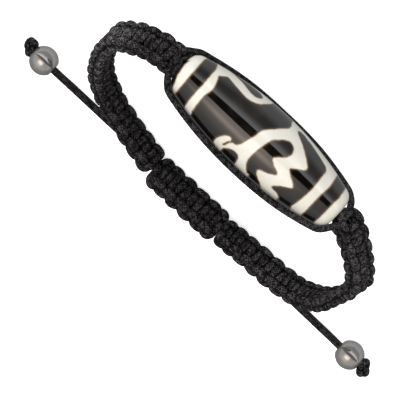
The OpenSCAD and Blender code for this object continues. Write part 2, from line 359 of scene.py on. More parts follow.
def waxed_cord_material(name, pale):
    """Braided black cord under wax, with paler flecks that are painted highlight on the braid's crests, mixed
    with random fibre tone. The braid's height is the product of two cosines, one round the cord and one along
    it, as in its skin. Where the bands turn, the cord is painted paler still, a painted light, most on the
    left and a little in the right band near the sliding knot. Where the mesh says that a crease is deep, the
    colour is painted shade, nearly black."""
    made, tree, shader = new_material(name)
    uv = add(tree, "SeparateXYZ", {0: add(tree, "UVMap", uv_map="UVMap").outputs[0]})
    round_it = maths(tree, "COSINE", maths(tree, "MULTIPLY", uv.outputs[0], 2 * np.pi * BRAID_BUMPS))
    along_it = maths(tree, "COSINE", maths(tree, "MULTIPLY", uv.outputs[1], 2 * np.pi / PLAIT))
    braid = ranged(tree, maths(tree, "MULTIPLY", along_it, round_it), -1, 1, kind="LINEAR")
    fibre = noise(tree, 2600, 4, 0.7)
    tuft = noise(tree, 1300, 3)
    patch = noise(tree, 600, 3)
    height = maths(tree, "ADD", maths(tree, "MULTIPLY", braid, 0.4), fibre)
    height = maths(tree, "ADD", height, tuft)
    bump = add(tree, "Bump", {"Strength": 1.0, "Distance": 0.00016, "Height": height})
    # Paler flecks on the braid's crests: painted highlight, partly random fibre tone
    crest_highlight_fleck = ranged(tree, height, 1.08, 1.5)
    colour = blend(tree, crest_highlight_fleck, CORD_DARK, pale)
    place = add(tree, "SeparateXYZ", {0: add(tree, "TexCoord").outputs["Object"]})
    # Painted light where the bands turn, most on the left, where the light comes from
    lit_left_turn = ranged(tree, place.outputs[0], *LIT_LEFT_X)
    lit_right_turn = ranged(tree, place.outputs[0], *LIT_RIGHT_X, 0, LIT_RIGHT_SHARE)
    painted_light = maths(tree, "MULTIPLY", maths(tree, "ADD", lit_left_turn, lit_right_turn),
                   ranged(tree, place.outputs[1], *LIT_TURN_Y))
    # Painted highlight on the right band near the sliding knot
    lit_right_foot = maths(tree, "MULTIPLY", ranged(tree, place.outputs[0], *LIT_FOOT_X, 0, LIT_FOOT_SHARE),
                       ranged(tree, place.outputs[1], *LIT_FOOT_Y))
    painted_light = maths(tree, "ADD", painted_light, lit_right_foot)
    lit_colour = blend(tree, crest_highlight_fleck, LIT_TURN_DARK, LIT_TURN_HIGHLIGHT)
    colour = blend(tree, painted_light, colour, lit_colour)
    # Painted shade: cord that lies close to another pass is darkened nearly to black in the crease
    crease = add(tree, "Attribute", attribute_name="crease").outputs["Fac"]
    colour = blend(tree, crease, colour, CORD_CREASE_SHADE)
    tree.links.new(colour, shader.inputs["Base Color"])
    tree.links.new(ranged(tree, patch, 0.3, 0.7, 0.45, 0.65), shader.inputs["Roughness"])
    tree.links.new(bump.outputs[0], shader.inputs["Normal"])
    shader.inputs["Specular IOR Level"].default_value = 0.06
    return made


def agate_material():
    """Polished agate: smoky black-brown ground and etched cream pattern. The mesh gives each point its
    distance inside the pattern in millimetres, cream where it is above 0, and a brown fringe near 0."""
    made, tree, shader = new_material("dzi_agate")
    depth = add(tree, "Attribute", attribute_name="cream").outputs["Fac"]
    wobble = maths(tree, "MULTIPLY", maths(tree, "SUBTRACT", noise(tree, 1100, 3), 0.5), 0.28)
    depth = maths(tree, "ADD", depth, wobble)
    cloud = noise(tree, 240, 5, 0.6)
    speck = noise(tree, 2600, 4, 0.65)
    smoke = blend(tree, ranged(tree, cloud, 0.45, 0.72), SMOKE_BLACK, SMOKE_BROWN)
    cream = blend(tree, ranged(tree, cloud, 0.3, 0.75), CREAM_PALE, CREAM_WARM)
    cream = blend(tree, ranged(tree, speck, 0.58, 0.74, 0, 0.4), cream, CREAM_SPECK)
    cream = blend(tree, ranged(tree, depth, 0.02, 0.3), CREAM_RIM, cream)
    ground = blend(tree, ranged(tree, depth, -0.45, -0.05), smoke, FRINGE_BROWN)
    colour = blend(tree, ranged(tree, depth, -0.06, 0.05), ground, cream)
    tree.links.new(colour, shader.inputs["Base Color"])
    wave = add(tree, "Bump", {"Strength": 0.25, "Distance": 0.00002, "Height": noise(tree, 450, 2)})
    tree.links.new(wave.outputs[0], shader.inputs["Normal"])
    tree.links.new(ranged(tree, speck, 0.35, 0.75, 0.03, 0.07), shader.inputs["Roughness"])
    shader.inputs["IOR"].default_value = 1.64
    return made


def gunmetal_material():
    """Polished grey metal with faint wear."""
    made, tree, shader = new_material("gunmetal_polished")
    wear = noise(tree, 1500, 5, 0.65)
    colour = blend(tree, ranged(tree, wear, 0.35, 0.7), METAL_GREY, METAL_WORN)
    tree.links.new(colour, shader.inputs["Base Color"])
    tree.links.new(ranged(tree, wear, 0.35, 0.75, 0.05, 0.1), shader.inputs["Roughness"])
    shader.inputs["Metallic"].default_value = 0.8
    return made


# Cord of the knots, and plain cord: a darker copy of it, a painted shade, whose painted highlights are dimmer
KNOTTED_CORD = waxed_cord_material("waxed_cord_knotted", CORD_FLECK_HIGHLIGHT)
PLAIN_CORD_SHADED = waxed_cord_material("waxed_cord_plain_shaded", PLAIN_CORD_DIM_HIGHLIGHT)
AGATE = agate_material()
GUNMETAL = gunmetal_material()


# Tails, end knots and metal balls

# Routes of the tails, as in the part's source. Columns: X, Y, Z.
TAIL_LEFT = [
    [-10.95, -21.1, 1.5], [-12.6, -21.15, 1.4], [-14.4, -21.4, 1.05], [-16.4, -21.8, 0.82],
    [-18.6, -22.15, 0.77], [-21, -22.35, 0.77], [-23.5, -22.45, 0.77], [-26, -22.45, 0.77],
    [-28.5, -22.45, 0.77], [-31, -22.45, 0.77], [-33, -22.45, 0.77], [-34.6, -22.2, 0.95],
    [-36, -21.6, 1.45], [-37.2, -20.85, 2.05], [-38.3, -20.15, 2.6], [-39.4, -19.72, 2.93],
    [-40.8, -19.65, 3], [-43, -19.65, 3], [-44.8, -19.65, 3],
]
TAIL_RIGHT = [
    [6.75, -21.1, 1.5], [8.4, -21.15, 1.4], [10.4, -21.4, 1.05], [12.6, -21.9, 0.82],
    [15, -22.5, 0.77], [17.6, -23.1, 0.77], [20.4, -23.7, 0.77], [23.2, -24.1, 0.77],
    [26, -24.35, 0.77], [28.8, -24.45, 0.77], [31.4, -24.5, 0.77], [33.9, -24.55, 0.77],
    [35.7, -24.35, 0.95], [37.1, -23.7, 1.45], [38.3, -22.95, 2.05], [39.4, -22.3, 2.6],
    [40.5, -21.92, 2.93], [41.9, -21.85, 3], [43.7, -21.85, 3], [45.9, -21.85, 3],
]
# Middles of the end knots and the ways their long sides point
KNOT_LEFT = ([-45.95, -19.4, 2.75], [-0.38, 0.72, -0.6])
KNOT_RIGHT = ([47.1, -21.92, 3.06], [0.45, -0.7, 0.56])
# Half sizes of an end knot's middle line: along its long side, along the tail, and through it
KNOT_HALF = (1.45, 0.66, 0.62)
KNOT_CORD_R = 0.76
# How far a tail goes on into the sliding knot, and how much it is lifted there
TAIL_TUCK = 1.2
TAIL_TUCK_RISE = [0, 0.1, 0.2]
# A tail's skin is a little thicker than the cord and lifted, so that its bumps don't sink into the ground.
TAIL_R = CORD_D / 2 + 0.04
TAIL_RISE = [0, 0, 0.06]
# Points round an end knot's line. Points round a ball, and distance from ring to ring there.
KNOT_RINGS = 180
BALL_COLUMNS = 96
BALL_STEP = 0.1


def tail(name, route, node):
    """A round cord along its route, which starts a little way inside the sliding knot."""
    inside = np.array(route[0]) + TAIL_TUCK * unit(np.array(route[0]) - route[1]) + TAIL_TUCK_RISE
    path = evenly(smooth_line([inside, *route]), CORD_STEP) + TAIL_RISE
    return piece(name, [tube(path, np.array([[0, 0, 1.0]]), TAIL_R, TAIL_R)], PLAIN_CORD_SHADED, node)


def end_knot(name, place, node):
    """A tight overhand knot: a tube round the trefoil line (cos t - 2 cos 2t, sin t + 2 sin 2t, -sin 3t),
    squeezed to the knot's size. Its columns lie along the long side, sideways and through the knot."""
    at, long_side = np.array(place[0]), unit(np.array(place[1]))
    through = unit(np.cross(LOOP_X, long_side))
    sideways = np.cross(long_side, through)
    t = np.linspace(0, 2 * np.pi, KNOT_RINGS + 1)[:-1]
    trefoil = np.stack([np.cos(t) - 2 * np.cos(2 * t), np.sin(t) + 2 * np.sin(2 * t), -np.sin(3 * t)], 1)
    trefoil *= np.array(KNOT_HALF) / np.abs(trefoil).max(0)
    path = at + trefoil @ np.array([long_side, sideways, through])
    along = unit(np.roll(path, -1, 0) - np.roll(path, 1, 0))
    outward = unit(np.cross(along, through))
    across = np.cross(along, outward)
    a = np.linspace(0, 2 * np.pi, CORD_SIDES, endpoint=False)[:, None]
    rings = path[:, None] + KNOT_CORD_R * (outward[:, None] * np.cos(a) + across[:, None] * np.sin(a))
    shell = ring_shell(rings, walked(path), closed=True)
    made = piece(name, [shell], KNOTTED_CORD, node)
    note_creases(made, [shell])
    return made


def metal_ball(name, node):
    """A drilled ball: its profile, from its middle along the sphere, over a softened lip and through the bore
    back to the middle, and its mirror, is carried round the bore. Columns: distance along, radius."""
    half = METAL_L / 2
    bore = METAL_BORE_D / 2
    lip = [(half - 0.05, 1.47), (half - 0.005, 1.34), (half - 0.01, 1.15), (half - 0.08, 1.0),
           (half - 0.25, bore)]
    angle = np.linspace(0, np.arcsin((half - 0.12) / METAL_D * 2), 26)
    sphere = np.stack([np.sin(angle), np.cos(angle)], 1) * METAL_D / 2
    half_profile = smooth_line([*sphere.tolist(), *lip, (half * 0.6, bore), (half * 0.3, bore)], 3)
    profile = np.vstack([half_profile, half_profile[::-1] * [-1, 1]])
    profile = evenly(profile, BALL_STEP)[:-1]
    a = np.linspace(0, 2 * np.pi, BALL_COLUMNS, endpoint=False)
    axis_y, axis_z = np.array([0, 1.0, 0]), np.array([0, 0, 1.0])
    rings = (middle(node) + profile[:, :1, None] * LOOP_X
             + profile[:, 1:, None] * (np.cos(a)[:, None] * axis_y + np.sin(a)[:, None] * axis_z))
    return piece(name, [ring_shell(rings, walked(profile), closed=True)], GUNMETAL, node)


left_tail = tail("left_tail", TAIL_LEFT, "tail_cord_left")
right_tail = tail("right_tail", TAIL_RIGHT, "tail_cord_right")
left_end = [metal_ball("left_ball", "metal_bead_left"), end_knot("left_end_knot", KNOT_LEFT, "end_knot_left")]
right_end = [metal_ball("right_ball", "metal_bead_right"),
             end_knot("right_end_knot", KNOT_RIGHT, "end_knot_right")]


# Knotted bands and sliding knot

# A cord's way through half of a square knot, the cord that stays in front. The other half is the same with
# the sides changed over. Columns: share of the knot's length, share of the half width, share of the bar's
# height in front, share of the edge's drop behind.
HALF_KNOT_WAY = np.array([
    [0, -1, 0, 1], [0.24, -1, 0, 0.9], [0.41, -0.94, 0, 0.5], [0.39, -0.72, 0.4, 0], [0.3, -0.42, 0.95, 0],
    [0.26, -0.12, 1, 0], [0.24, 0.12, 1, 0], [0.2, 0.42, 0.95, 0], [0.11, 0.72, 0.4, 0], [0.09, 0.94, 0, 0.5],
    [0.26, 1, 0, 0.9],
])
KNOT_WAY = np.vstack([HALF_KNOT_WAY, HALF_KNOT_WAY * [1, -1, 1, 1] + [0.5, 0, 0, 0]])
# The bands from the stone to the sliding knot, in the loop's frame. Columns: X, Y and Z of the middle line,
# turn of the shown face towards the ground in degrees, half width of the cords' middle lines, share of the
# bars' height, which is less where a bend presses them.
LEFT_LINE = [
    [-21.6, 0.15, 37.5, 8, 2.3, 1], [-23.2, 0.15, 37.5, 8, 2.42, 1], [-25.8, 0.45, 36.3, 8, 2.42, 1],
    [-29.5, 0.75, 33.5, 6, 2.35, 1], [-33.2, 0.85, 28.5, 3, 2.25, 0.95], [-33.8, 0.65, 22.5, 0, 2.15, 0.8],
    [-31.9, 0.4, 15.2, 0, 2.1, 0.76], [-27.1, 0.4, 9.6, 0, 2.05, 0.8], [-21.5, 0.2, 6.7, 0, 2.05, 0.9],
    [-16, 0, 4.6, 0, 2.05, 1], [-12.4, -0.1, 3.4, 0, 2.1, 1], [-11.4, -0.2, 3.3, 0, 1.4, 1],
    [-11, -0.2, 3.3, 0, 1.1, 1],
]
RIGHT_LINE = [
    [22.6, 0, 37.5, 6, 2.2, 1], [24.2, -0.1, 37.2, 6, 2.3, 1], [27, -0.7, 35.3, 6, 2.25, 1],
    [30.5, -1.25, 31.6, 4, 2.1, 1], [33.35, -1.35, 26, 10, 2.1, 0.95], [32.95, -1.65, 19.8, 13, 2.1, 0.68],
    [31.15, -1.6, 12.3, 6, 2.05, 0.72], [27.1, -1.3, 7.3, 0, 2.1, 0.85], [21.8, -1, 5, 0, 2.15, 0.95],
    [14.5, -0.7, 3.9, 0, 2.1, 1], [8.2, -0.8, 3.2, 0, 1.98, 1], [7.4, -0.9, 3.1, 0, 1.15, 1],
    [7, -0.9, 3.1, 0, 0.85, 1],
]
SLIDE_LINE = [
    [-10.9, -0.32, 2.2, 0, 1.3, 1], [-10.4, -0.32, 2.2, 0, 1.9, 1], [-9.5, -0.32, 2.2, 0, 2.5, 1],
    [-7, -0.32, 2.2, 0, 2.53, 1], [2, -0.32, 2.2, 0, 2.53, 1], [5.3, -0.32, 2.2, 0, 2.5, 1],
    [6.1, -0.32, 2.2, 0, 1.9, 1], [6.6, -0.32, 2.2, 0, 1.3, 1],
]
# Where the knots lie: a knot's number and its distance along its line
LEFT_KNOTS = [(-0.5, -0.7), (0, 0.8), (1, 3.9), (2, 7), (3, 9.9), (4, 12.9), (5, 15.8), (6, 18.6),
              (7, 21.3), (8, 23.9), (9.5, 27.6), (10.5, 30.1), (11.5, 32.7), (12.5, 35.4), (13.5, 38.5),
              (14.5, 41.8), (15.5, 45.1), (16.5, 48.4), (17.5, 51.7), (18, 53.2)]
RIGHT_KNOTS = [(-0.5, -0.6), (0, 0.9), (1, 3.8), (2, 7), (3, 10.2), (4, 13.4), (5, 16.6), (6, 19.9),
               (7, 23.1), (8, 26.4), (9.5, 31), (10.5, 33.4), (11.5, 35.8), (12.5, 38.4), (13.5, 41.3),
               (14.5, 44.6), (15.5, 47.9), (16.5, 51.1), (17.5, 54.1), (18.5, 56.5), (19, 57.5)]
SLIDE_KNOTS = [(-0.25, 0.45), (0, 1.2), (1, 3.9), (2, 7), (3, 10.4), (4, 13.8), (5, 16.4), (5.25, 17.1)]
# How unevenly hands pull knots: spread of the cord's places along the band, across it and at the bars
UNEVEN_PLACE = 0.02
UNEVEN_WIDTH = 0.03
UNEVEN_HEIGHT = 0.06
# A cord's ends are tucked in towards the band's middle, to this share of their way out.
TUCK = 0.35
# Steps from row to row of the knot way
WAY_STEPS = 4
# How far out a cord is pressed, as a share of the half width, and how much thinner and wider it is there
PRESS_REACH = 0.55
PRESS_THINNER = 0.14
PRESS_WIDER = 0.04
# Points along a strand inside a band
STRAND_POINTS = 90
# The way that the front of a single strand's skin faces
STRAND_FRONT = LOOP_Z[None] + 0.01 * LOOP_X


def place_on(line, at, face):
    """Middle, direction, side, shown face, half width and height share of a band at distances walked along
    its line, straight past its ends. The side is the loop's Y made square to the direction, then turned with
    the face about the direction."""
    line = smooth_line(line)
    distance = walked(line[:, :3])
    inside = np.clip(at, 0, distance[-1])
    slope = unit(np.gradient(line[:, :3], distance, axis=0))
    along = unit(np.stack([np.interp(inside, distance, column) for column in slope.T], 1))
    centre = np.stack([np.interp(inside, distance, column) for column in line[:, :3].T], 1)
    centre += (at - inside)[:, None] * along
    turn, half_width, share = (np.interp(inside, distance, column) for column in line[:, 3:].T)
    turn = np.radians(turn)[:, None]
    side = unit(np.array([0, 1.0, 0]) - along[:, 1:2] * along)
    shown = face * np.cross(along, side)
    return (centre, along, np.cos(turn) * side + np.sin(turn) * shown,
            np.cos(turn) * shown - np.sin(turn) * side, half_width, share)


def knot_rows(first, last):
    """The knot way repeated from the row that starts knot first to the row that ends knot last."""
    count = len(KNOT_WAY)
    rows = np.arange(round(first * count), round(last * count) + 1)
    way = KNOT_WAY[rows % count].copy()
    way[:, 0] += rows // count
    return way


def knotted(line, knots, first, last, face, size, seed):
    """The two working cords of a flat braid of square knots. The front cord follows the knot way, and the
    back cord its mirror in width and depth. The way is eased to a smooth line, laid along the band's line,
    and each cord is pressed flatter where it crosses the middle. size is the bars' height, the drop at the
    edges and the cord's radius."""
    bar, drop, radius = size
    chance = np.random.default_rng(seed)
    shells = []
    for mirror in (1, -1):
        way = knot_rows(first, last)
        way[:, 0] += chance.normal(0, UNEVEN_PLACE, len(way))
        way[:, 1] *= 1 + chance.normal(0, UNEVEN_WIDTH, len(way))
        way[:, 2] *= 1 + chance.normal(0, UNEVEN_HEIGHT, len(way))
        tuck_in, tuck_out = way[0].copy(), way[-1].copy()
        tuck_in[1:] *= TUCK
        tuck_out[1:] *= TUCK
        way = eased_line(np.vstack([tuck_in, way, tuck_out]), WAY_STEPS)
        number, distance = np.array(knots).T
        at = np.interp(way[:, 0], number, distance)
        centre, along, side, shown, half_width, share = place_on(line, at, face)
        width = mirror * way[:, 1] * half_width
        depth = mirror * share * (way[:, 2] * bar - way[:, 3] * drop)
        path = centre + side * width[:, None] + shown * depth[:, None]
        outward = side * (width / half_width ** 2)[:, None] + shown * (depth / bar ** 2)[:, None]
        pressed = np.exp(-(way[:, 1:2] / PRESS_REACH) ** 4)
        skin = evenly(np.hstack([laid(path), outward @ LOOP_AXES, pressed]), CORD_STEP)
        path, outward, pressed = skin[:, :3], skin[:, 3:6], skin[:, 6]
        thick = radius * (1 - PRESS_THINNER * pressed)
        wide = radius * (1 + PRESS_WIDER * pressed)
        shells.append(tube(path, outward, thick, wide))
    return shells


def core_strands(line, start, end, gap, radius):
    """Two straight strands side by side inside a band, each a gap off its middle line."""
    centre, _, side, shown, _, _ = place_on(line, np.linspace(start, end, STRAND_POINTS), 1)
    return [tube(laid(centre + way * gap * side), shown @ LOOP_AXES, radius, radius) for way in (-1, 1)]


def strand(route, radius):
    """A round strand through points of the loop's frame, measured from the stone's middle."""
    path = laid(evenly(smooth_line(np.array(route, float) + [BEAD_X, 0, BEAD_Z]), CORD_STEP))
    return tube(path, STRAND_FRONT, radius, radius)


# Height of the bars, drop at the edges and radius of the cords, in the bands and in the sliding knot
BAND_SIZE = (1.08, 1.22, 0.76)
SLIDE_SIZE = (1.3, 1.5, 0.78)
# Strands that cross between the stone and the first knots, from the stone's middle
LEFT_NECK = np.array([[-20.9, 4.1, 0], [-20.75, 3.6, 0.35], [-20.95, 2.9, 0.7], [-21.1, 1.6, 0.95],
                      [-21.1, -0.6, 1], [-21.05, -2, 0.75], [-20.98, -2.95, 0.2], [-21.3, -3.4, -0.6]])
RIGHT_NECK = np.array([[21.15, 1.6, 0.4], [21.15, 0.4, 0.8], [21.25, -0.7, 1], [21.8, -1.2, 1.15],
                       [22.6, -1.6, 1.2], [23.5, -2, 1], [24.2, -2.3, 0.4]])
left_cords = knotted(LEFT_LINE, LEFT_KNOTS, -0.1, 18, -1, BAND_SIZE, 3)
left_inside = core_strands(LEFT_LINE, -1.2, 53.4, 0.55, 0.5)
left_inside += [strand(LEFT_NECK, 0.6), strand(LEFT_NECK[3:] * [1, -1, -1], 0.6)]
right_cords = knotted(RIGHT_LINE, RIGHT_KNOTS, -0.1, 19, 1, BAND_SIZE, 8)
right_inside = core_strands(RIGHT_LINE, -1.2, 58, 0.55, 0.5)
right_inside += [strand(RIGHT_NECK, 0.64), strand(RIGHT_NECK * [1, -1, -1], 0.64)]
slide_cords = knotted(SLIDE_LINE, SLIDE_KNOTS, -0.25, 5.25, 1, SLIDE_SIZE, 5)
slide_inside = core_strands(SLIDE_LINE, 0.3, 17.3, 0.9, 0.85)
for name, cords, inside, node in (("left_band_knots", left_cords, left_inside, "band_left"),
                                  ("right_band_knots", right_cords, right_inside, "band_right"),
                                  ("closure_knots", slide_cords, slide_inside, "sliding_knot")):
    note_creases(piece(name, cords + inside, KNOTTED_CORD, node), cords + inside)


# Cords at the stone

# Ends of the flank cords, from the stone's middle: each goes on from the stone's flank into a band.
NEAR_LEFT = [[-19.1, -5.35, -0.65], [-20.05, -4.7, -0.35], [-20.8, -4, 0.1], [-21.4, -3.2, 0.65],
             [-21.95, -1.75, 1.15], [-22.35, 0.3, 1.35], [-22.75, 1.6, 1.1], [-23.2, 2.3, 0.4]]
NEAR_RIGHT = [[19.1, -5.35, -0.65], [20.05, -4.7, -0.45], [20.8, -3.65, -0.3], [21.3, -2.8, -0.2],
              [21.8, -2, 0], [22.6, -1.4, 0.1]]
FAR_LEFT = [[-19.1, 5.5, 0.25], [-20.05, 5.05, 0.3], [-20.9, 4.3, 0.4], [-21.6, 3.7, 0.5], [-22.4, 2.95, 0.5],
            [-23.2, 2.2, 0.3]]
FAR_RIGHT = [[19.1, 5.3, 0.2], [20.05, 4.55, 0.35], [20.8, 3.6, 0.65], [21.3, 2.5, 0.95], [21.6, 1.3, 1.2],
             [21.75, 0.1, 1.25], [21.9, -0.9, 0.9], [22.3, -1.3, 0.2]]
# How far the cords stand off the stone's flanks. Columns: distance along the stone, gap.
NEAR_GAP = [(-17.5, 0.22), (0, 0.22), (11, 0.36), (17.5, 0.22)]
FAR_GAP = [(-17.5, 0.38), (-9, 0.38), (0, 0.12), (10, 0.32), (17.5, 0.25)]
# How far from the stone's middle the cords leave its flanks, and points along them up to there
FLANK_HALF = 17.5
FLANK_POINTS = 15
# Height of the cords over the stone's middle, in the loop's frame
NEAR_RISE = -0.8
FAR_RISE = 0.15
# Half length of the cord through the stone
CORE_HALF = 21.8


def flank_cord(name, way, rise, gaps, left_end, right_end, node):
    """A cord along one flank of the stone, on the side that way gives, between its two ends. Along the stone
    it lies its own radius and a gap out from the arc of the stone's outline."""
    along = np.linspace(-FLANK_HALF, FLANK_HALF, FLANK_POINTS)
    out = np.sqrt(BEAD_SWELL_R ** 2 - along ** 2) + BEAD_D / 2 - BEAD_SWELL_R + FLANK_CORD_D / 2
    out += np.interp(along, *np.array(gaps).T)
    flank = np.stack([along, way * out, np.full(len(along), rise)], 1)
    return piece(name, [strand(np.vstack([left_end[::-1], flank, right_end]), FLANK_CORD_D / 2)],
                 PLAIN_CORD_SHADED, node)


flank_cord("near_flank_cord", -1, NEAR_RISE, NEAR_GAP, NEAR_LEFT, NEAR_RIGHT, "side_cord_near")
flank_cord("far_flank_cord", 1, FAR_RISE, FAR_GAP, FAR_LEFT, FAR_RIGHT, "side_cord_far")
core = strand([[-CORE_HALF, 0, 0], [CORE_HALF, 0, 0]], CORD_D / 2)
piece("stone_core_cord", [core], PLAIN_CORD_SHADED, "core_cord")


# Stone

# Outlines of the pattern on the unrolled stone, charted for the side that the photograph shows. Columns:
# distance along the stone from its middle, distance round it at its middle's radius, in millimetres. An edge
# of the charted side is a quarter of the way round.
EDGE = 11.31
LEFT_CAP = [
    (-17.8, -9.2), (-17.89, -2.94), (-17.95, 0), (-18.04, 2.97), (-18.14, 6.75), (-18.27, EDGE),
    (-25, EDGE), (-25, 6.5), (-20.56, 5.36), (-20.37, 1.91), (-20.09, -0.78), (-19.9, -3), (-19.42, -4.95),
    (-19.04, -7.45), (-18.56, -9.03), (-17.95, -9.35),
]
LEFT_RING = [
    (-14.84, -EDGE), (-14.84, -9.29), (-15.03, -5.5), (-15.12, -2.55), (-15.12, 0), (-15.18, 2.03),
    (-15.22, 3.96), (-15.31, 6.33), (-15.51, EDGE), (-2.81, EDGE), (-2.91, 9.73), (-3.29, 8.03),
    (-3.77, 7.03), (-4.25, 6.32), (-4.72, 5.64), (-5.68, 5.04), (-6.63, 4.81), (-7.59, 4.76), (-8.54, 4.96),
    (-9.49, 5.25), (-10.45, 5.54), (-11.4, 5.94), (-12.36, 6.41), (-12.83, 6.28), (-13.31, 5.72),
    (-13.94, 5.06), (-13.79, 4.28), (-13.41, 2.89), (-13.12, 1.88), (-13.06, 0.93), (-13.18, 0),
    (-13.41, -0.94), (-13.44, -1.9), (-13.31, -3.66), (-13.12, -6.74), (-12.93, -8.01), (-12.93, -EDGE),
]
LEFT_SLIVER = [
    (-13.3, 10.4), (-11.4, 10.6), (-9.49, 10.3), (-7.59, 9.9), (-6.25, 9.44), (-5.49, 8.76), (-5.1, 7.95),
    (-5.49, 7.1), (-6.06, 6.76), (-6.82, 6.66), (-7.59, 6.88), (-8.54, 7.33), (-9.49, 7.91), (-11.4, 9.0),
]
RIGHT_PATTERN = [
    (2.05, EDGE), (2.05, 9.59), (2.15, 8.39), (2.47, 7.36), (2.49, 6.68), (2.24, 5.92), (1.77, 5.24),
    (1.19, 4.49), (0.62, 3.69), (0.05, 3.01), (-0.52, 2.33), (-1, 1.64), (-1.19, 0.96), (-1.29, 0),
    (-1.57, -0.77), (-1.77, -1.54), (-1.96, -2.34), (-2.24, -3.07), (-2.53, -3.61), (-2.91, -3.9),
    (-3.29, -4.01), (-3.58, -4.13), (-3.82, -4.5), (-3.96, -3.87), (-4.15, -3.61), (-4.49, -3.51),
    (-4.91, -3.64), (-5.39, -4), (-5.77, -4.54), (-6.12, -5.34), (-6.35, -6.22), (-6.4, -6.87),
    (-6.31, -7.6), (-6.06, -8.36), (-5.68, -8.9), (-5.49, -EDGE), (15.41, -EDGE), (15.41, -10.02),
    (15.51, -5.64), (15.51, -2.6), (15.51, 0), (15.6, 1.54), (15.7, 3.75), (15.51, 6.4), (15.41, 10.02),
    (15.41, EDGE),
]
NOTCH = [(-3.9, -4.3), (-4.1, -4.35), (-4.36, -5.0), (-4.58, -5.7), (-4.7, -6.14), (-4.5, -6.2), (-4.3, -5.8),
         (-4.08, -5.1)]
OVAL = [
    (-4.11, -EDGE), (-4.11, -7.69), (-4.09, -6.95), (-3.58, -6.22), (-3.01, -5.62), (-2.43, -5.31),
    (-1.86, -5.24), (-1.29, -5.33), (-0.91, -5.67), (-0.72, -6.17), (-0.62, -6.95), (-0.56, -7.67),
    (-0.56, -EDGE),
]
INNER_LOOP = [
    (3.29, -EDGE), (3.1, -8.23), (2.34, -7.36), (1.67, -6.34), (1.19, -5.48), (0.91, -4.61), (0.81, -3.8),
    (0.87, -2.74), (0.94, -1.74), (1.1, -0.77), (1.29, 0), (1.48, 0.86), (1.71, 1.54), (2.05, 2),
    (2.53, 2.45), (3.1, 3.08), (3.67, 3.57), (4.25, 3.86), (4.82, 3.93), (5.39, 3.7), (5.87, 3.28),
    (6.19, 2.53), (6.15, 1.81), (5.87, 1.19), (5.39, 0.73), (4.82, 0.2), (4.34, -0.29), (4.06, -0.72),
    (4.25, -1.07), (4.82, -1.52), (5.39, -1.89), (5.96, -2.07), (6.44, -2.27), (6.69, -2.6), (6.54, -3.02),
    (5.96, -3.39), (5.2, -3.85), (4.44, -4.07), (3.86, -4.28), (3.48, -4.72), (3.54, -5.17), (3.96, -5.86),
    (4.63, -6.51), (5.39, -7.16), (5.87, -7.95), (6.15, -8.59), (6.35, -EDGE),
]
RIGHT_FIELD = [
    (10.03, -EDGE), (10.03, -9.28), (10.1, -8.11), (9.97, -7.2), (9.59, -6.56), (8.83, -6.25), (8.06, -6.07),
    (7.68, -5.78), (7.87, -5.24), (8.35, -4.63), (9.02, -4.06), (9.78, -3.53), (10.45, -3.1), (10.7, -2.65),
    (10.26, -2.06), (9.59, -1.49), (8.83, -0.94), (8.25, -0.51), (7.87, -0.06), (8.25, 0.31), (8.83, 0.89),
    (9.59, 1.38), (10.07, 1.79), (10.28, 2.29), (10.16, 2.8), (9.59, 3.34), (8.64, 4.15), (7.68, 4.9),
    (6.73, 5.61), (5.77, 6.25), (4.63, 7.07), (4.15, 7.7), (4.15, 7.91), (4.63, 8.54), (5.77, 8.66),
    (6.73, 8.36), (7.68, 8.25), (8.64, 7.9), (9.59, 7.72), (10.54, 7.44), (11.5, 7.15), (12.45, 6.84),
    (12.93, 6.31), (13.18, 5.69), (13.22, 5.06), (13.31, 2.38), (13.46, 0), (13.37, -1.89), (13.22, -3.65),
    (13.02, -5.65), (12.8, -7.04), (12.99, -8.03), (13.12, -9.27), (13.12, -EDGE),
]
RIGHT_CAP = [
    (18.08, -EDGE), (18.08, -10.4), (18.27, -4.72), (18.27, -1.47), (18.31, 1.18), (18.37, 3.69),
    (18.27, 5.9), (18.08, 10.02), (18.08, EDGE), (25, EDGE), (25, -EDGE),
]
# How far past an edge an outline runs on that is cut there, as a share of the edge's own distance
RUN_ON = 1.5
# Rings of the stone: points in a ring, distance from ring to ring outside, and rings in the bore
STONE_COLUMNS = 280
STONE_STEP = 0.17
BORE_RINGS = 14
# The way the middle of the pattern faces, and the way that distances round the stone count from there
PATTERN_FACE = np.array([0, 0.78049, 0.62517])
PATTERN_UP = np.array([0, 0.62517, -0.78049])
# Depth inside the pattern that is given to the bore, and parts in which the chart is read to spare memory
NO_PATTERN = -1.0
CHART_PARTS = 24


def depth_inside(points, outline):
    """Distance of each point inside an outline, below 0 outside it: the shortest distance to any of its
    sides, with its sign from how many sides a line to the right of the point crosses."""
    start = smooth_line([*outline, outline[0]], 3)
    end = np.roll(start, -1, 0)
    side = end - start
    offset = points[:, None] - start
    share = np.clip((offset * side).sum(2) / np.maximum((side ** 2).sum(1), TINY), 0, 1)
    shortest = np.linalg.norm(offset - share[..., None] * side, axis=2).min(1)
    y = points[:, 1:2]
    crosses = (start[:, 1] > y) != (end[:, 1] > y)
    rise = np.where(side[:, 1] == 0, TINY, side[:, 1])
    right = start[:, 0] + (y - start[:, 1]) / rise * side[:, 0] > points[:, :1]
    return np.where((crosses & right).sum(1) % 2 == 1, shortest, -shortest)


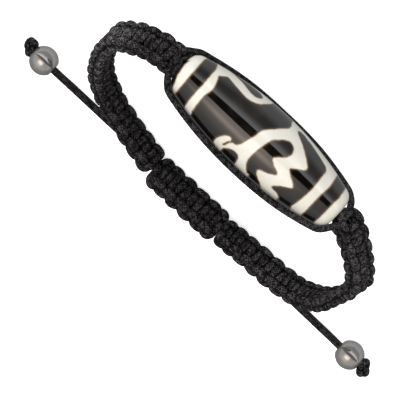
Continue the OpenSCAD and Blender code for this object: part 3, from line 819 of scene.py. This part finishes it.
def cream_depth(along, around):
    """Depth inside the cream pattern, which is the same on the stone's far side: distances round the stone
    are folded back at the edges of the charted side. Past an edge, an outline that is cut there runs on, so
    that the cut isn't an edge of the pattern."""
    around = np.where(np.abs(around) > EDGE, np.sign(around) * 2 * EDGE - around, around)
    points = np.stack([along, around], 1)

    def inside(outline):
        shape = np.array(outline)
        shape[:, 1] = np.where(np.abs(shape[:, 1]) >= EDGE, shape[:, 1] * RUN_ON, shape[:, 1])
        return depth_inside(points, shape.tolist())

    left = np.minimum(inside(LEFT_RING), -inside(LEFT_SLIVER))
    right = inside(RIGHT_PATTERN)
    for hole in (NOTCH, OVAL, INNER_LOOP, RIGHT_FIELD):
        right = np.minimum(right, -inside(hole))
    return np.max([inside(LEFT_CAP), left, right, inside(RIGHT_CAP)], axis=0)


def stone_profile():
    """The stone's outline from end to end and back through its bore. Columns: distance along, radius. A long
    arc swells the sides, round ends meet it, and small lips lead into the bore."""
    centre = BEAD_D / 2 - BEAD_SWELL_R
    end_x = BEAD_L / 2 - BEAD_END_R
    end_r = np.sqrt((BEAD_SWELL_R - BEAD_END_R) ** 2 - end_x ** 2) + centre
    meet = np.arctan2(end_x, end_r - centre)
    swell = np.linspace(0, meet, 120)
    arc = np.stack([np.sin(swell) * BEAD_SWELL_R, np.cos(swell) * BEAD_SWELL_R + centre], 1)
    rounding = np.linspace(meet, np.pi / 2, 40)[1:]
    end = np.stack([np.sin(rounding) * BEAD_END_R + end_x, np.cos(rounding) * BEAD_END_R + end_r], 1)
    bore = BEAD_BORE_D / 2
    lip = [(BEAD_L / 2, 1.4), (BEAD_L / 2 - 0.05, 1.15), (BEAD_L / 2 - 0.25, bore)]
    outer = np.vstack([arc, end, smooth_line(lip, 5)])
    outer = evenly(np.vstack([outer[::-1] * [-1, 1], outer[1:]]), STONE_STEP)
    hole = np.linspace(outer[-1, 0], outer[0, 0], BORE_RINGS + 2)[1:-1]
    return outer, np.stack([hole, np.full(BORE_RINGS, bore)], 1)


def dzi_stone():
    """The stone's outline carried round its length. At angle a, a ring's point lies at its radius times
    cos(a) towards the pattern's middle and sin(a) up the pattern. Each point has its depth in the pattern."""
    outer, hole = stone_profile()
    profile = np.vstack([outer, hole])
    a = np.linspace(-np.pi, np.pi, STONE_COLUMNS, endpoint=False)
    turned = np.cos(a)[:, None] * PATTERN_FACE + np.sin(a)[:, None] * PATTERN_UP
    rings = STONE + profile[:, :1, None] * LOOP_X + profile[:, 1:, None] * turned
    stone = piece("dzi_stone", [ring_shell(rings, walked(profile), closed=True)], AGATE,
                  "dzi_bead")
    along, around = (grid.ravel() for grid in np.meshgrid(outer[:, 0], a * BEAD_D / 2, indexing="ij"))
    depth = np.full(len(profile) * STONE_COLUMNS, NO_PATTERN)
    for part in np.array_split(np.arange(len(along)), CHART_PARTS):
        depth[part] = cream_depth(along[part], around[part])
    stone.data.attributes.new("cream", "FLOAT", "POINT").data.foreach_set("value", depth.astype(np.float32))


dzi_stone()


# Floor and light

def stage_sheet(name, corners, faces, rays):
    """A plain pale sheet of the studio that is lit through from behind, as a light table is, so that shadows
    stay faint. It is hidden from the kinds of rays that are named."""
    made, tree, shader = new_material(name)
    shader.inputs["Base Color"].default_value = (0.85, 0.85, 0.85, 1)
    shader.inputs["Roughness"].default_value = 0.7
    shader.inputs["Specular IOR Level"].default_value = 0.2
    shader.inputs["Emission Color"].default_value = (1, 1, 1, 1)
    shader.inputs["Emission Strength"].default_value = 0.7
    mesh = bpy.data.meshes.new(name)
    mesh.from_pydata(corners, [], faces)
    mesh.materials.append(made)
    sheet = bpy.data.objects.new(name, mesh)
    for kind in rays:
        setattr(sheet, "visible_" + kind, False)
    bpy.context.scene.collection.objects.link(sheet)


# Brightness of the studio round the bracelet, by the angle about the stone's length in degrees: 0 is level
# on the camera's side, 90 overhead, 180 level on the other side, and below 0 what gloss shows of the ground.
# Columns: angle, red, green, blue.
STUDIO = [
    (-180, 0.3, 0.3, 0.3), (-110, 0.45, 0.45, 0.45), (-50, 0.85, 0.85, 0.85), (-36, 0.6, 0.6, 0.6),
    (-22, 0.3, 0.3, 0.3), (-5, 0.36, 0.35, 0.34), (2, 0.55, 0.55, 0.55), (8, 0.95, 0.95, 0.95),
    (14, 1.5, 1.49, 1.5), (22.8, 1.85, 1.84, 1.87), (24.3, 0, 0, 0), (48, 0, 0, 0),
    (49.8, 0.75, 0.7, 0.68), (89, 0.75, 0.72, 0.68), (110, 0.8, 0.78, 0.74), (135, 0.45, 0.45, 0.45),
    (180, 0.3, 0.3, 0.3),
]
# What a strip light above the camera's side adds. It is brightest a little left of the middle and ends to
# the left and right of the stone.
STRIP = [
    (-180, 0, 0, 0), (48, 0, 0, 0), (49.8, 1.55, 1.3, 1.17), (57, 1.65, 1.35, 1.22), (63, 2, 1.6, 1.42),
    (69, 3.05, 2.55, 2.2), (76, 2.45, 2.05, 1.72), (82, 1.25, 1.03, 0.87), (89, 0.7, 0.56, 0.47),
    (110, 0, 0, 0),
]


def round_stone(tree, turn, table):
    """The output of a colour ramp of a table's colours over the angle about the stone's length."""
    ramp = add(tree, "ValToRGB", {0: ranged(tree, turn, -np.pi, np.pi, kind="LINEAR")})
    stops = ramp.color_ramp.elements
    for k, (degrees, red, green, blue) in enumerate(table):
        at = 0.5 + degrees / 360
        stop = stops[k] if k < 2 else stops.new(at)
        stop.position = at
        stop.color = (red, green, blue, 1)
    return ramp.outputs[0]


# How far left of the studio's middle the strip light's middle lies, and how far from there it is at its full
# and has faded out
STRIP_LEFT = 0.1
STRIP_FULL = 0.12
STRIP_END = 0.55
# Soft lights. Columns: name, watts, place, turn.
LAMPS = [
    ("overhead", 6.5, (0, 0.68, 1.1), (-0.55, 0, 0)), ("low_fill", 11, (0, 1.2, 0.45), (-1.2, 0, 0)),
    ("left_fill", 16, (-1.25, 0.1, 0.3), (0, -1.33, 0)), ("right_fill", 4, (1.25, 0.1, 0.3), (0, 1.33, 0)),
]
LAMP_WIDTH = 1.0
LAMP_COLOUR = (0.96, 0.98, 1)


def light_studio():
    """Soft light from all round with a dark gap round the camera, a strip light, and broad soft lights from
    above the camera's side, from low on it, from the left and from the right."""
    world = bpy.data.worlds.new("studio")
    bpy.context.scene.world = world
    world.use_nodes = True
    tree = world.node_tree
    way = add(tree, "SeparateXYZ", {0: add(tree, "TexCoord").outputs["Generated"]})
    turn = maths(tree, "ARCTAN2", way.outputs[2], way.outputs[1])
    off_middle = maths(tree, "ABSOLUTE", maths(tree, "ADD", way.outputs[0], STRIP_LEFT))
    fade = ranged(tree, off_middle, STRIP_FULL, STRIP_END, 1, 0)
    lit = blend(tree, fade, round_stone(tree, turn, STUDIO), round_stone(tree, turn, STRIP), "ADD")
    background = tree.nodes["Background"]
    tree.links.new(lit, background.inputs["Color"])
    background.inputs["Strength"].default_value = 1
    for name, watts, place, turned in LAMPS:
        light = bpy.data.lights.new(name, "AREA")
        light.shape = "DISK"
        light.size = LAMP_WIDTH
        light.energy = watts
        light.color = LAMP_COLOUR
        lamp = bpy.data.objects.new(name, light)
        lamp.location = place
        lamp.rotation_euler = turned
        lamp.visible_glossy = False
        bpy.context.scene.collection.objects.link(lamp)


# Corners of the floor, and of the foot and the top of the backdrop, a box round it that is open below
FLOOR = np.array([(-2.5, -2.5, 0), (2.5, -2.5, 0), (2.5, 2.5, 0), (-2.5, 2.5, 0)])
BACKDROP_FOOT = FLOOR * 1.1
BACKDROP_TOP = BACKDROP_FOOT + [0, 0, 3]
stage_sheet("studio_floor", FLOOR.tolist(), [(0, 1, 2, 3)], ("glossy", "diffuse"))
stage_sheet("studio_backdrop", np.vstack([BACKDROP_FOOT, BACKDROP_TOP]).tolist(),
            [(0, 4, 5, 1), (1, 5, 6, 2), (2, 6, 7, 3), (3, 7, 4, 0), (4, 7, 6, 5)],
            ("glossy", "diffuse", "transmission", "volume_scatter", "shadow"))
light_studio()
bpy.context.scene.view_settings.view_transform = "Standard"
